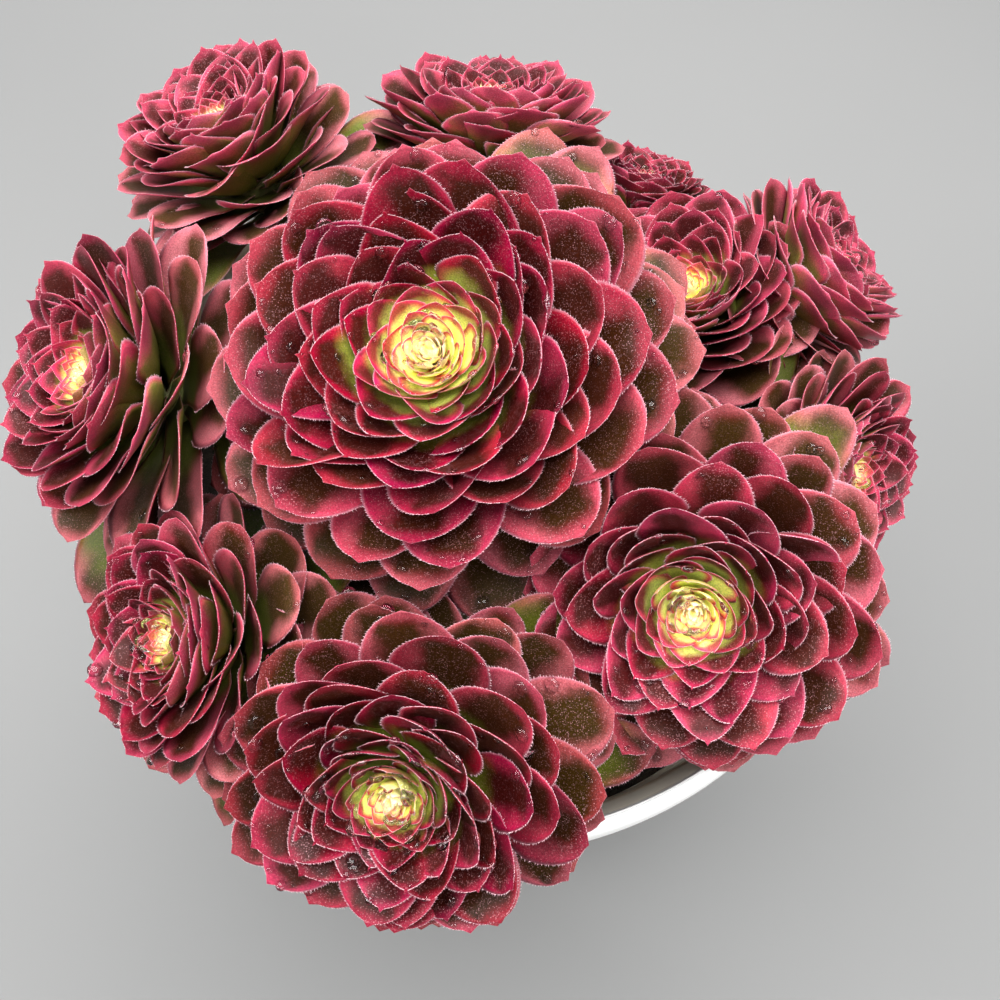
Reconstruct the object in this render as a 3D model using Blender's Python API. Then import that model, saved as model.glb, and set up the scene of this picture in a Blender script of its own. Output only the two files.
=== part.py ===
"""Potted aeonium: eleven leaf rosettes on one branched stem, in soil, in a round plastic pot.

Metres, +Z up. The origin is the centre of the pot's underside, and -Y is the front.
"""
from collections import namedtuple
from math import cos, pi, radians, sin, tau

import bmesh
import bpy
from mathutils import Vector

# Pot
RIM_RADIUS = 0.117
POT_HEIGHT = 0.220
BASE_RADIUS = 0.084
WALL = 0.0026
LIP_WIDTH = 0.0075
LIP_DEPTH = 0.0120
NECK_BEND = 0.0040       # height over which the wall meets the lip
STACK_STEP_TOP = 0.204   # a step in the wall that keeps stacked pots from jamming
STACK_STEP_LOW = 0.197
STACK_STEP = 0.0006
FLOOR = 0.0040
FLOOR_BEND = 0.0050      # height and width of the slope between wall and floor
FOOT_RISE = 0.0030
PAD_RADIUS = 0.022       # the flat centre of the underside
PAD_SLOPE = 0.0040
FOOT_RING = 0.0120
FOOT_EDGE = 0.0010
DRAIN_HOLES = 6
DRAIN_HOLE_RADIUS = 0.0055
DRAIN_HOLE_SIDES = 16
DRAIN_CIRCLE_RADIUS = 0.0525
DRAIN_TURN = 0.37        # share of a step that the ring of holes is turned
ROUND_SEGMENTS = 44
# The lip's section from its underside over the top: how far in from the rim and below the top
LIP_SECTION = (
    (0.0016, 0.0116), (0.0004, 0.0098), (0.0000, 0.0040), (0.0012, 0.0012),
    (0.0038, 0.0000), (0.0061, 0.0009), (0.0075, 0.0032),
)

# Soil
SOIL_TOP = 0.178
SOIL_DOME = 0.006
SOIL_ROUNDING = 0.003    # of the edge of the soil against the pot
SOCKET_DISH = 0.006      # width of the dip round the trunk

# Stem
TRUNK_RADIUS = 0.0125
TRUNK_SIDES = 14
TRUNK_FOOT = 0.135
FORK_HEIGHT = 0.204
FORK_CROWN = 0.012       # the trunk's rounded end above the fork
TRUNK_LEVELS = ((TRUNK_FOOT, 0.90), (0.165, 1.00), (FORK_HEIGHT, 1.00),
                (FORK_HEIGHT + FORK_CROWN, 0.75))   # height, share of the radius
STEM_SIDES = 8
STEM_STEPS = 6
BRANCH_SINK = 0.003      # how far below the fork a branch starts
BRANCH_OUTWARD = 0.40    # its first handle: share of the way out, and rise
BRANCH_RISE = 0.010
BRANCH_RISE_OVER_TRUNK = 0.030
BRANCH_END = 0.22        # its last handle: share of the way out, and the least length
BRANCH_END_LEAST = 0.018
BRANCH_TAPER = 0.15

GAP = 0.0003        # between pieces that touch
HEAD_GAP = 0.0012   # kept between the leaves of two rosettes

# Where each rosette's heart is, the way it leans in degrees, its radius, the leaves in a turn,
# the turns of leaves, the sections along a leaf and the radius of its stem
Rosette = namedtuple("Rosette", "heart azimuth tilt radius count turns sections stem_radius")
ROSETTES = {
    "main_rosette": Rosette((-0.010, -0.019, 0.309), -117, 20, 0.0590, 13, 6, 2, 0.0075),
    "front_right_rosette": Rosette((0.051, -0.072, 0.280), -109, 41, 0.0465, 11, 6, 2, 0.0065),
    "front_rosette": Rosette((-0.018, -0.113, 0.270), -108, 41, 0.0460, 11, 6, 2, 0.0065),
    "left_front_rosette": Rosette((-0.076, -0.072, 0.259), -160, 43, 0.0360, 9, 5, 1, 0.0065),
    "left_rosette": Rosette((-0.102, -0.004, 0.272), -167, 43, 0.0410, 10, 5, 1, 0.0060),
    "back_left_rosette": Rosette((-0.073, 0.073, 0.281), 144, 27, 0.0380, 10, 5, 1, 0.0060),
    "back_rosette": Rosette((0.004, 0.086, 0.276), 87, 33, 0.0355, 9, 5, 1, 0.0055),
    "inner_right_rosette": Rosette((0.058, 0.029, 0.263), 160, 16, 0.0380, 9, 5, 1, 0.0050),
    "right_back_rosette": Rosette((0.102, 0.041, 0.258), 15, 50, 0.0340, 9, 5, 1, 0.0050),
    "right_rosette": Rosette((0.102, -0.023, 0.251), -35, 55, 0.0315, 9, 5, 1, 0.0050),
    "back_right_rosette": Rosette((0.051, 0.080, 0.246), 66, 36, 0.0250, 8, 4, 1, 0.0045),
}

# Shape of a rosette, in parts of its radius: the outermost turn first, the innermost last
TIP_RADII = (0.97, 1.00, 0.93, 0.78, 0.60, 0.42)
TIP_HEIGHTS = (-0.50, -0.32, -0.14, 0.02, 0.13, 0.17)
BASE_HEIGHTS = (-0.64, -0.54, -0.45, -0.37, -0.29, -0.22)
CORE_RADII = (0.17, 0.17, 0.16, 0.15, 0.14, 0.13)
GROUP_STEP = 0.02    # room between the outer and the inner leaves
INNER_TURNS = 3
HEART_LEAVES = 6
HEART_LATTICE = ((0.095, 0.004), (0.090, 0.050), (0.075, 0.110), (0.050, 0.160))
HEART_TIPS = ((0.26, 0.15), (0.13, 0.11))

# Sections along a leaf: share of its length, half width and half thickness
LEAF_SECTIONS = {
    1: ((0.70, 0.86, 0.020),),
    2: ((0.45, 0.66, 0.026), (0.80, 0.88, 0.017)),
}
LEAF_BOW = {1: 0.02, 2: 0.05}
LEAF_UPPER = 0.5     # thickness above a leaf's middle plane, as a share of that below it
CAP_DIP = 0.02       # how far the closing cones lie below the leaf bases
HEART_CAP = 0.01     # height of the heart's closing cone

# A leaf shortens in steps until its tip and its sides, here, are clear of other rosettes
ROOM_AT = 0.75       # share of the leaf's length
ROOM_ASIDE = 0.42    # share of the angle between two leaves
SHORTEST_LEAF = 0.40
SHORTENING = 0.05

COLOURS = {
    "pot": ((0.84, 0.84, 0.81, 1), 0.35),
    "soil": ((0.05, 0.035, 0.025, 1), 0.95),
    "stem": ((0.23, 0.25, 0.10, 1), 0.65),
    "outer_leaves": ((0.30, 0.045, 0.075, 1), 0.42),
    "inner_leaves": ((0.33, 0.02, 0.055, 1), 0.40),
    "heart": ((0.62, 0.62, 0.20, 1), 0.45),
}

for old in list(bpy.data.objects):
    bpy.data.objects.remove(old)


def material(kind):
    """The one material of a kind of piece, made the first time it is asked for."""
    made = bpy.data.materials.get(kind)
    if made:
        return made
    colour, roughness = COLOURS[kind]
    made = bpy.data.materials.new(kind)
    made.use_nodes = True
    shader = made.node_tree.nodes["Principled BSDF"]
    shader.inputs["Base Color"].default_value = colour
    shader.inputs["Roughness"].default_value = roughness
    shader.inputs["Metallic"].default_value = 0.0
    return made


def add_object(name, points, faces, kind, smooth_angle=None):
    mesh = bpy.data.meshes.new(name)
    mesh.from_pydata([tuple(p) for p in points], [], faces)
    made = bpy.data.objects.new(name, mesh)
    bpy.context.scene.collection.objects.link(made)
    mesh.materials.append(material(kind))
    face_outward(mesh)
    if smooth_angle is not None:
        mesh.shade_smooth()
        mesh.set_sharp_from_angle(angle=radians(smooth_angle))
    return made


def face_outward(mesh):
    work = bmesh.new()
    work.from_mesh(mesh)
    bmesh.ops.recalc_face_normals(work, faces=work.faces)
    if work.calc_volume(signed=True) < 0:
        bmesh.ops.reverse_faces(work, faces=work.faces)
    work.to_mesh(mesh)
    work.free()


def turned(name, profile, kind):
    """A closed solid of revolution; the profile starts and ends on the axis (radius 0)."""
    segments = ROUND_SEGMENTS
    points, faces, rings = [], [], []
    for radius, height in profile:
        if radius == 0:
            rings.append([len(points)])
            points.append((0, 0, height))
        else:
            rings.append(list(range(len(points), len(points) + segments)))
            points += [
                (radius * cos(tau * k / segments), radius * sin(tau * k / segments), height)
                for k in range(segments)
            ]
    for low, high in zip(rings, rings[1:]):
        for k in range(segments):
            n = (k + 1) % segments
            if len(low) == 1:
                faces.append((low[0], high[n], high[k]))
            elif len(high) == 1:
                faces.append((low[k], low[n], high[0]))
            else:
                faces.append((low[k], low[n], high[n], high[k]))
    return add_object(name, points, faces, kind, smooth_angle=35)


def outer_radius(height):
    """The pot's outer wall: a straight taper from the foot to the lip."""
    top = RIM_RADIUS - LIP_WIDTH + WALL
    return BASE_RADIUS + (top - BASE_RADIUS) * height / POT_HEIGHT


def inner_radius(height):
    return outer_radius(height) - WALL


def make_pot():
    lip_low = POT_HEIGHT - LIP_DEPTH
    neck = outer_radius(lip_low)
    floor_top = FOOT_RISE + FLOOR
    bend_top = floor_top + FLOOR_BEND
    profile = [
        (0, 0.0),
        (PAD_RADIUS, 0.0),
        (PAD_RADIUS + PAD_SLOPE, FOOT_RISE),
        (BASE_RADIUS - FOOT_RING, FOOT_RISE),
        (BASE_RADIUS - FOOT_RING + PAD_SLOPE, 0.0),
        (BASE_RADIUS - FOOT_EDGE, 0.0),
        (BASE_RADIUS, FOOT_EDGE),
        (neck, lip_low - NECK_BEND),
        *((RIM_RADIUS - inwards, POT_HEIGHT - below) for inwards, below in LIP_SECTION),
        (inner_radius(STACK_STEP_TOP), STACK_STEP_TOP),
        (inner_radius(STACK_STEP_LOW) - STACK_STEP, STACK_STEP_LOW),
        (inner_radius(bend_top) - STACK_STEP, bend_top),
        (inner_radius(floor_top) - FLOOR_BEND, floor_top),
        (0, floor_top),
    ]
    pot = turned("pot", profile, "pot")
    for k in range(DRAIN_HOLES):
        angle = tau * (k + DRAIN_TURN) / DRAIN_HOLES
        bpy.ops.mesh.primitive_cylinder_add(
            vertices=DRAIN_HOLE_SIDES, radius=DRAIN_HOLE_RADIUS, depth=4 * (FOOT_RISE + FLOOR),
            location=(DRAIN_CIRCLE_RADIUS * cos(angle), DRAIN_CIRCLE_RADIUS * sin(angle), 0),
        )
        cutter = bpy.context.object
        cutter.name = f"drain_hole_cutter_{k}"
        cutter.hide_render = True
        cutter.display_type = "WIRE"
        hole = pot.modifiers.new(f"drain_hole_{k}", "BOOLEAN")
        hole.operation = "DIFFERENCE"
        hole.solver = "EXACT"
        hole.object = cutter
    return pot


def make_soil():
    """The root ball: it fills the pot to the wall, with a socket for the trunk's buried foot."""
    floor_top = FOOT_RISE + FLOOR
    low, bend_top = floor_top + GAP, floor_top + FLOOR_BEND + FOOT_EDGE
    socket = TRUNK_RADIUS + GAP
    play = STACK_STEP + GAP
    profile = [
        (0, low),
        (inner_radius(floor_top) - FLOOR_BEND - play, low),
        (inner_radius(bend_top) - play - FOOT_EDGE, bend_top),
        (inner_radius(SOIL_TOP - SOIL_ROUNDING) - play, SOIL_TOP - SOIL_ROUNDING),
        (inner_radius(SOIL_TOP) - play - SOIL_ROUNDING, SOIL_TOP),
        (RIM_RADIUS / 2, SOIL_TOP + SOIL_DOME * 0.7),
        (socket + SOCKET_DISH, SOIL_TOP + SOIL_DOME),
        (socket, SOIL_TOP + SOIL_DOME - FOOT_EDGE),
        (socket, TRUNK_FOOT - GAP),
        (0, TRUNK_FOOT - GAP),
    ]
    return turned("soil", profile, "soil")


def head_frame(name):
    """Heart, axis and the two directions across the axis of a rosette."""
    rosette = ROSETTES[name]
    a, t = radians(rosette.azimuth), radians(rosette.tilt)
    axis = Vector((sin(t) * cos(a), sin(t) * sin(a), cos(t)))
    across = axis.cross(Vector((0, 0, 1))).normalized()
    return Vector(rosette.heart), axis, across, axis.cross(across)


def own_side(name, point):
    """How far a point is from the boundary with the nearest other rosette, in metres."""
    own = ROSETTES[name]
    own_power = (point - Vector(own.heart)).length_squared - own.radius**2
    least = 1.0
    for other_name, other in ROSETTES.items():
        if other_name != name:
            power = (point - Vector(other.heart)).length_squared - other.radius**2
            apart = (Vector(other.heart) - Vector(own.heart)).length
            least = min(least, (power - own_power) / (2 * apart))
    return least


def tube(name, path, ways, radii, sides):
    """A tube of changing radius: each ring is square to its own direction in ways."""
    points, faces = [], []
    side = Vector((0, 0, 1)) if abs(ways[0].z) < 0.9 else Vector((1, 0, 0))
    for centre, way, radius in zip(path, ways, radii):
        ahead = way.normalized()
        side = (side - ahead * side.dot(ahead)).normalized()
        other = ahead.cross(side)
        for n in range(sides):
            angle = tau * n / sides
            points.append(centre + (side * cos(angle) + other * sin(angle)) * radius)
    for k in range(len(path) - 1):
        for n in range(sides):
            m = (n + 1) % sides
            a, b = k * sides, (k + 1) * sides
            faces.append((a + n, a + m, b + m, b + n))
    end = (len(path) - 1) * sides
    faces.append(tuple(reversed(range(sides))))
    faces.append(tuple(range(end, end + sides)))
    return add_object(name, points, faces, "stem", smooth_angle=50)


def make_stem():
    """The trunk and one curved branch to each rosette, grown together."""
    up = Vector((0, 0, 1))
    path = [up * height for height, share in TRUNK_LEVELS]
    radii = [TRUNK_RADIUS * share for height, share in TRUNK_LEVELS]
    stem = tube("branched_stem", path, [up] * len(path), radii, TRUNK_SIDES)
    for name, rosette in ROSETTES.items():
        heart, axis = head_frame(name)[:2]
        end = heart + axis * (rosette.radius * lowest(name) - GAP)
        start = up * (FORK_HEIGHT - BRANCH_SINK)
        outward = Vector((end.x, end.y, 0))
        over_trunk = outward.length < BRANCH_RISE_OVER_TRUNK
        rise = BRANCH_RISE_OVER_TRUNK if over_trunk else BRANCH_RISE
        first = start + outward * BRANCH_OUTWARD + up * rise
        second = end - axis * max(BRANCH_END_LEAST, outward.length * BRANCH_END)
        path, ways, radii = [], [], []
        for k in range(STEM_STEPS + 1):
            t = k / STEM_STEPS
            u = 1 - t
            path.append(start * u**3 + first * 3 * t * u * u + second * 3 * t * t * u + end * t**3)
            ways.append((first - start) * u * u + (second - first) * 2 * t * u
                        + (end - second) * t * t)
            radii.append(rosette.stem_radius * (1 + BRANCH_TAPER * (1 - t)))
        branch = tube(f"{name}_branch", path, ways, radii, STEM_SIDES)
        branch.hide_render = True
        branch.display_type = "WIRE"
        join = stem.modifiers.new(f"join_{name}", "BOOLEAN")
        join.operation = "UNION"
        join.solver = "EXACT"
        join.object = branch
    return stem


def turns_of(name):
    """The turns of leaves that a rosette has: a small one lacks the outermost turns."""
    return range(len(TIP_RADII) - ROSETTES[name].turns, len(TIP_RADII))


def lowest(name):
    """Height of a rosette's lowest leaf bases, in parts of its radius."""
    return lattice_height(turns_of(name)[0] - 1)


def lattice_height(turn):
    """Height of a row of leaf-base corners; past either end the last step is repeated."""
    steps = BASE_HEIGHTS
    if turn < 0:
        return steps[0] + (steps[1] - steps[0]) * turn
    if turn >= len(steps):
        return steps[-1] + (steps[-1] - steps[-2]) * (turn - len(steps) + 1)
    return steps[turn]


def core_radius(turn):
    return CORE_RADII[min(max(turn, 0), len(CORE_RADII) - 1)]


def make_leaves(node, name, kind, lattice, tips, count, shift, caps, sections):
    """Leaves in staggered turns, grown from one lattice of diamond-shaped leaf bases.

    lattice is the radius and height of each row of corners and tips is the reach and height of
    each turn's leaf tips. Each diamond between four corners is drawn out into a leaf, and shift
    turns the lattice by half a step for each turn of leaves outside it.
    """
    heart, axis, across, along = head_frame(name)
    radius = ROSETTES[name].radius
    step = tau / count
    points, faces = [], []

    def place(angle, reach, height):
        spread = across * cos(angle) + along * sin(angle)
        return heart + (spread * reach + axis * height) * radius

    def corner(row, k):
        return row * count + k % count

    for row, (reach, height) in enumerate(lattice):
        for k in range(count):
            points.append(place(step * (k + (row + shift) / 2), reach, height))

    for turn, (tip_reach, tip_height) in enumerate(tips):
        base_reach, base_height = lattice[turn + 1]
        run, rise = tip_reach - base_reach, tip_height - base_height
        length = (run * run + rise * rise) ** 0.5
        up_reach, up_height = -rise / length, run / length
        for k in range(count):
            angle = step * (k + (turn + shift) / 2)
            share = leaf_share(name, place, angle, (base_reach, base_height), (run, rise), step)
            ring = [corner(turn, k), corner(turn + 1, k), corner(turn + 2, k - 1),
                    corner(turn + 1, k - 1)]
            spread = across * cos(angle) + along * sin(angle)
            sideways = along * cos(angle) - across * sin(angle)
            normal = spread * up_reach + axis * up_height
            for part, width, thick in LEAF_SECTIONS[sections]:
                bow = -LEAF_BOW[sections] * length * share * sin(pi * part)
                reach = base_reach + run * part * share + up_reach * bow
                height = base_height + rise * part * share + up_height * bow
                middle = place(angle, reach, height)
                half = sideways * (reach * step / 2 * width * radius)
                rib = normal * (thick * radius)
                first = len(points)
                points += [middle - rib, middle + half, middle + rib * LEAF_UPPER, middle - half]
                section = [first, first + 1, first + 2, first + 3]
                for n in range(4):
                    m = (n + 1) % 4
                    faces.append((ring[n], ring[m], section[m], section[n]))
                ring = section
            tip = len(points)
            points.append(place(angle, base_reach + run * share, base_height + rise * share))
            for n in range(4):
                faces.append((ring[n], ring[(n + 1) % 4], tip))

    # the zigzag rims below and above the leaf bases are closed by shallow cones
    low, high, top = len(points), len(points) + 1, len(lattice) - 1
    points += [place(0, 0, caps[0]), place(0, 0, caps[1])]
    for k in range(count):
        faces.append((low, corner(0, k), corner(1, k - 1)))
        faces.append((low, corner(1, k), corner(0, k)))
        faces.append((high, corner(top - 1, k), corner(top, k)))
        faces.append((high, corner(top, k), corner(top - 1, k + 1)))
    return add_object(node, points, faces, kind, smooth_angle=40)


def leaf_share(name, place, angle, base, chord, step):
    """The share of its full length that a leaf can grow before it meets another rosette."""
    share = 1.0
    while share > SHORTEST_LEAF:
        reach, height = base[0] + chord[0] * share, base[1] + chord[1] * share
        wide_reach, wide_height = (base[n] + chord[n] * share * ROOM_AT for n in (0, 1))
        aside = step * ROOM_ASIDE
        places = (
            place(angle, reach, height),
            place(angle - aside, wide_reach, wide_height),
            place(angle + aside, wide_reach, wide_height),
        )
        if min(own_side(name, point) for point in places) > HEAD_GAP:
            break
        share -= SHORTENING
    return share


def make_head(name):
    """A rosette: its outer leaves, its inner leaves and the closed heart."""
    rosette = ROSETTES[name]
    count, sections = rosette.count, rosette.sections
    used = turns_of(name)
    split = max(len(used) - INNER_TURNS, 1)
    gap = GAP / rosette.radius
    for label, rows, lift in (
        ("outer_leaves", used[:split], 0.0), ("inner_leaves", used[split:], gap + GROUP_STEP)
    ):
        corners = range(rows[0] - 1, rows[-1] + 2)
        lattice = [(core_radius(row), lattice_height(row) + lift) for row in corners]
        tips = [(TIP_RADII[row], TIP_HEIGHTS[row]) for row in rows]
        caps = [(lattice[row][1] + lattice[row + 1][1]) / 2 - CAP_DIP for row in (0, -2)]
        make_leaves(f"{name}_{label}", name, label, lattice, tips, count, rows[0], caps, sections)
    low = lattice_height(used[-1] + 1) + 2.5 * gap + GROUP_STEP
    lattice = [(reach, low + rise) for reach, rise in HEART_LATTICE]
    caps = (low, low + HEART_LATTICE[-1][1] + HEART_CAP)
    make_leaves(f"{name}_heart", name, "heart", lattice, HEART_TIPS, HEART_LEAVES, 0, caps, 1)


make_pot()
make_soil()
make_stem()
for rosette_name in ROSETTES:
    make_head(rosette_name)
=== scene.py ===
import math

import bpy
import numpy as np
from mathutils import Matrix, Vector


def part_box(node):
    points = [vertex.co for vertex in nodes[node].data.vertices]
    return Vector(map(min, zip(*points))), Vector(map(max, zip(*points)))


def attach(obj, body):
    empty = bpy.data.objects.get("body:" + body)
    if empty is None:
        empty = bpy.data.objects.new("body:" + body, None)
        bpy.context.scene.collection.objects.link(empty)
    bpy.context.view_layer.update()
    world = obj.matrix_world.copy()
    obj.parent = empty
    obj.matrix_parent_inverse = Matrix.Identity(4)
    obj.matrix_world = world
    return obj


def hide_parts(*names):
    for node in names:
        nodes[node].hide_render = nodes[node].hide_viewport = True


# Potted aeonium: eleven leaf rosettes on a branched stem in a plain white pot.
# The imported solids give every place; the leaves, hairs, drops, bark and soil are made here.

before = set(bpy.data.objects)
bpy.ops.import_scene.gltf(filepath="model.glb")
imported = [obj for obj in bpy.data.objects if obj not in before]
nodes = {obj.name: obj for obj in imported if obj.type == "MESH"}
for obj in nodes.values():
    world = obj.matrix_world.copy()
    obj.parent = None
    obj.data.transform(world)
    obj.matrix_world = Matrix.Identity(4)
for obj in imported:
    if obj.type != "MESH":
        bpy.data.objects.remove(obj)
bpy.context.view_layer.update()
dice = np.random.default_rng(20)
heartEnd = "_rosette_heart"
places = [name.removesuffix(heartEnd) for name in nodes if name.endswith(heartEnd)]
print("frame loaded:", len(nodes), "solids,", len(places), "rosettes")


# meshes

def unit(vectors):
    return vectors / np.maximum(np.linalg.norm(vectors, axis=-1, keepdims=True), 1e-12)


def curveAt(ends, t):
    # from the first point to the last, drawn towards the two handles between them
    first, second, third, fourth = ends
    rest = 1 - t
    return first * rest**3 + second * 3 * t * rest**2 + third * 3 * t**2 * rest + fourth * t**3


def solidPoints(name):
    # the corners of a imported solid, each place once
    mesh = nodes[name].data
    flat = np.zeros(len(mesh.vertices) * 3)
    mesh.vertices.foreach_get("co", flat)
    return np.unique(np.round(flat.reshape(-1, 3), 6), axis=0)


def makePiece(name, points, quads, triangles, material, replaced=(), smooth=True):
    # point and face arrays go into a new mesh in one step each, which rides on the plant
    mesh = bpy.data.meshes.new(name)
    corners = np.concatenate([quads.ravel(), triangles.ravel()]).astype(np.int32)
    sizes = np.concatenate([np.full(len(quads), 4), np.full(len(triangles), 3)])
    starts = np.concatenate([[0], np.cumsum(sizes)[:-1]]).astype(np.int32)
    mesh.vertices.add(len(points))
    mesh.vertices.foreach_set("co", points.astype(np.float32).ravel())
    mesh.loops.add(len(corners))
    mesh.loops.foreach_set("vertex_index", corners)
    mesh.polygons.add(len(sizes))
    mesh.polygons.foreach_set("loop_start", starts)
    mesh.polygons.foreach_set("use_smooth", np.full(len(sizes), smooth))
    mesh.update(calc_edges=True)
    mesh.materials.append(material)
    piece = bpy.data.objects.new(name, mesh)
    bpy.context.scene.collection.objects.link(piece)
    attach(piece, "root")
    if replaced:
        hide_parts(*replaced)
    return piece


def writeTones(piece, name, values):
    # four numbers a point, read by the materials
    layer = piece.data.attributes.new(name, "FLOAT_COLOR", "POINT")
    layer.data.foreach_set("color", values.astype(np.float32).ravel())


def writeBakeMap(piece, corners):
    # a flat place for every corner of every face, for whoever paints or bakes the piece
    layer = piece.data.uv_layers.new(name="OFBake")
    layer.uv.foreach_set("vector", corners.astype(np.float32).ravel())


def cellCorners(corners, count, margin=0.04):
    # the same corners, 0 to 1 both ways, moved into one square cell of the map for each copy
    side = math.ceil(math.sqrt(count))
    index = np.arange(count)
    cell = np.stack([index % side, index // side], -1)[:, None, :]
    return ((cell + margin + (1 - 2 * margin) * corners) / side).reshape(-1, 2)


def tubeFaces(rings, sides):
    # faces of a closed skin: rings of points, then a middle point for its start and its end
    k, n = np.meshgrid(np.arange(rings - 1), np.arange(sides), indexing="ij")
    m = (n + 1) % sides
    quads = np.stack([k * sides + n, k * sides + m, (k + 1) * sides + m, (k + 1) * sides + n], -1)
    n = np.arange(sides)
    m = (n + 1) % sides
    first, last, top = rings * sides, rings * sides + 1, (rings - 1) * sides
    startCap = np.stack([m, n, np.full(sides, first)], -1)
    endCap = np.stack([top + n, top + m, np.full(sides, last)], -1)
    return quads.reshape(-1, 4), np.concatenate([startCap, endCap])


def tubeMap(rings, sides):
    # the skin slit along its first side and laid flat, as corners in the order of tubeFaces
    k, n = np.meshgrid(np.arange(rings - 1), np.arange(sides), indexing="ij")
    low, high = (k + 1) / (rings + 1), (k + 2) / (rings + 1)
    left, right = n / sides, (n + 1) / sides
    quads = np.stack([left, low, right, low, right, high, left, high], -1).reshape(-1, 2)
    n = np.arange(sides)
    left, right, middle = n / sides, (n + 1) / sides, (n + 0.5) / sides
    low, high = np.full(sides, 1 / (rings + 1)), np.full(sides, rings / (rings + 1))
    start = np.stack([right, low, left, low, middle, low * 0], -1).reshape(-1, 2)
    end = np.stack([left, high, right, high, middle, high * 0 + 1], -1).reshape(-1, 2)
    return np.concatenate([quads, start, end])


def leafMap(rings, sides, count):
    # a cell for each leaf's slit skin; the mesh lists the quads of every leaf, then the triangles
    corners = tubeMap(rings, sides)
    cells = cellCorners(corners, count).reshape(count, len(corners), 2)
    split = (rings - 1) * sides * 4
    return np.concatenate([cells[:, :split].reshape(-1, 2), cells[:, split:].reshape(-1, 2)])


def spikeMap(count):
    # a cell for each spike, with one of its four triangles in each quarter
    quarters = np.array([(0, 0), (1, 0), (0, 1), (1, 1)])[:, None, :] / 2
    triangle = np.array([(0.05, 0.05), (0.45, 0.05), (0.25, 0.45)])
    return cellCorners((quarters + triangle).reshape(-1, 2), count)


# node trees

class Finish:
    # a material being wired up, with one short call for each kind of node
    def __init__(self, name):
        self.material = bpy.data.materials.new(name)
        self.material.use_nodes = True
        self.tree = self.material.node_tree
        self.shader = self.tree.nodes["Principled BSDF"]

    def node(self, kind, **settings):
        made = self.tree.nodes.new(kind)
        for key, value in settings.items():
            setattr(made, key, value)
        return made

    def join(self, source, socket):
        if hasattr(source, "is_output"):
            self.tree.links.new(source, socket)
        else:
            socket.default_value = source

    def math(self, operation, a, b=0.0, c=0.0, clamp=False):
        made = self.node("ShaderNodeMath", operation=operation, use_clamp=clamp)
        for value, socket in zip((a, b, c), made.inputs):
            self.join(value, socket)
        return made.outputs[0]

    def step(self, value, low, high, to=(0.0, 1.0)):
        made = self.node("ShaderNodeMapRange", interpolation_type="SMOOTHSTEP")
        for source, socket in zip((value, low, high, *to), made.inputs):
            self.join(source, socket)
        return made.outputs[0]

    def mix(self, share, a, b):
        made = self.node("ShaderNodeMix", data_type="RGBA")
        self.join(share, made.inputs[0])
        self.join(a, made.inputs[6])
        self.join(b, made.inputs[7])
        return made.outputs[2]

    def ramp(self, value, stops):
        made = self.node("ShaderNodeValToRGB")
        ends = made.color_ramp.elements
        while len(ends) < len(stops):
            ends.new(0.5)
        for end, (position, colour) in zip(ends, stops):
            end.position = position
            end.color = colour if len(colour) == 4 else (*colour, 1)
        self.join(value, made.inputs[0])
        return made.outputs[0]

    def curve(self, value, stops):
        # a number that follows another through a few points
        return self.ramp(value, [(at, (level, level, level)) for at, level in stops])

    def tones(self, name):
        # the four numbers that writeTones gave each point
        made = self.node("ShaderNodeAttribute", attribute_name=name)
        parts = self.node("ShaderNodeSeparateColor")
        self.join(made.outputs["Color"], parts.inputs[0])
        return (*parts.outputs, made.outputs["Alpha"])

    def noise(self, scale, detail=2.0, vector=None, roughness=0.5):
        made = self.node("ShaderNodeTexNoise")
        made.inputs["Scale"].default_value = scale
        made.inputs["Detail"].default_value = detail
        made.inputs["Roughness"].default_value = roughness
        self.join(vector or self.place(), made.inputs["Vector"])
        return made.outputs["Fac"]

    def place(self):
        return self.node("ShaderNodeTexCoord").outputs["Object"]

    def bump(self, height, strength, distance):
        made = self.node("ShaderNodeBump")
        made.inputs["Strength"].default_value = strength
        made.inputs["Distance"].default_value = distance
        self.join(height, made.inputs["Height"])
        self.join(made.outputs[0], self.shader.inputs["Normal"])

    def set(self, **values):
        for key, value in values.items():
            self.join(value, self.shader.inputs[key.replace("_", " ")])
        return self.material


# leaf skin

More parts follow.
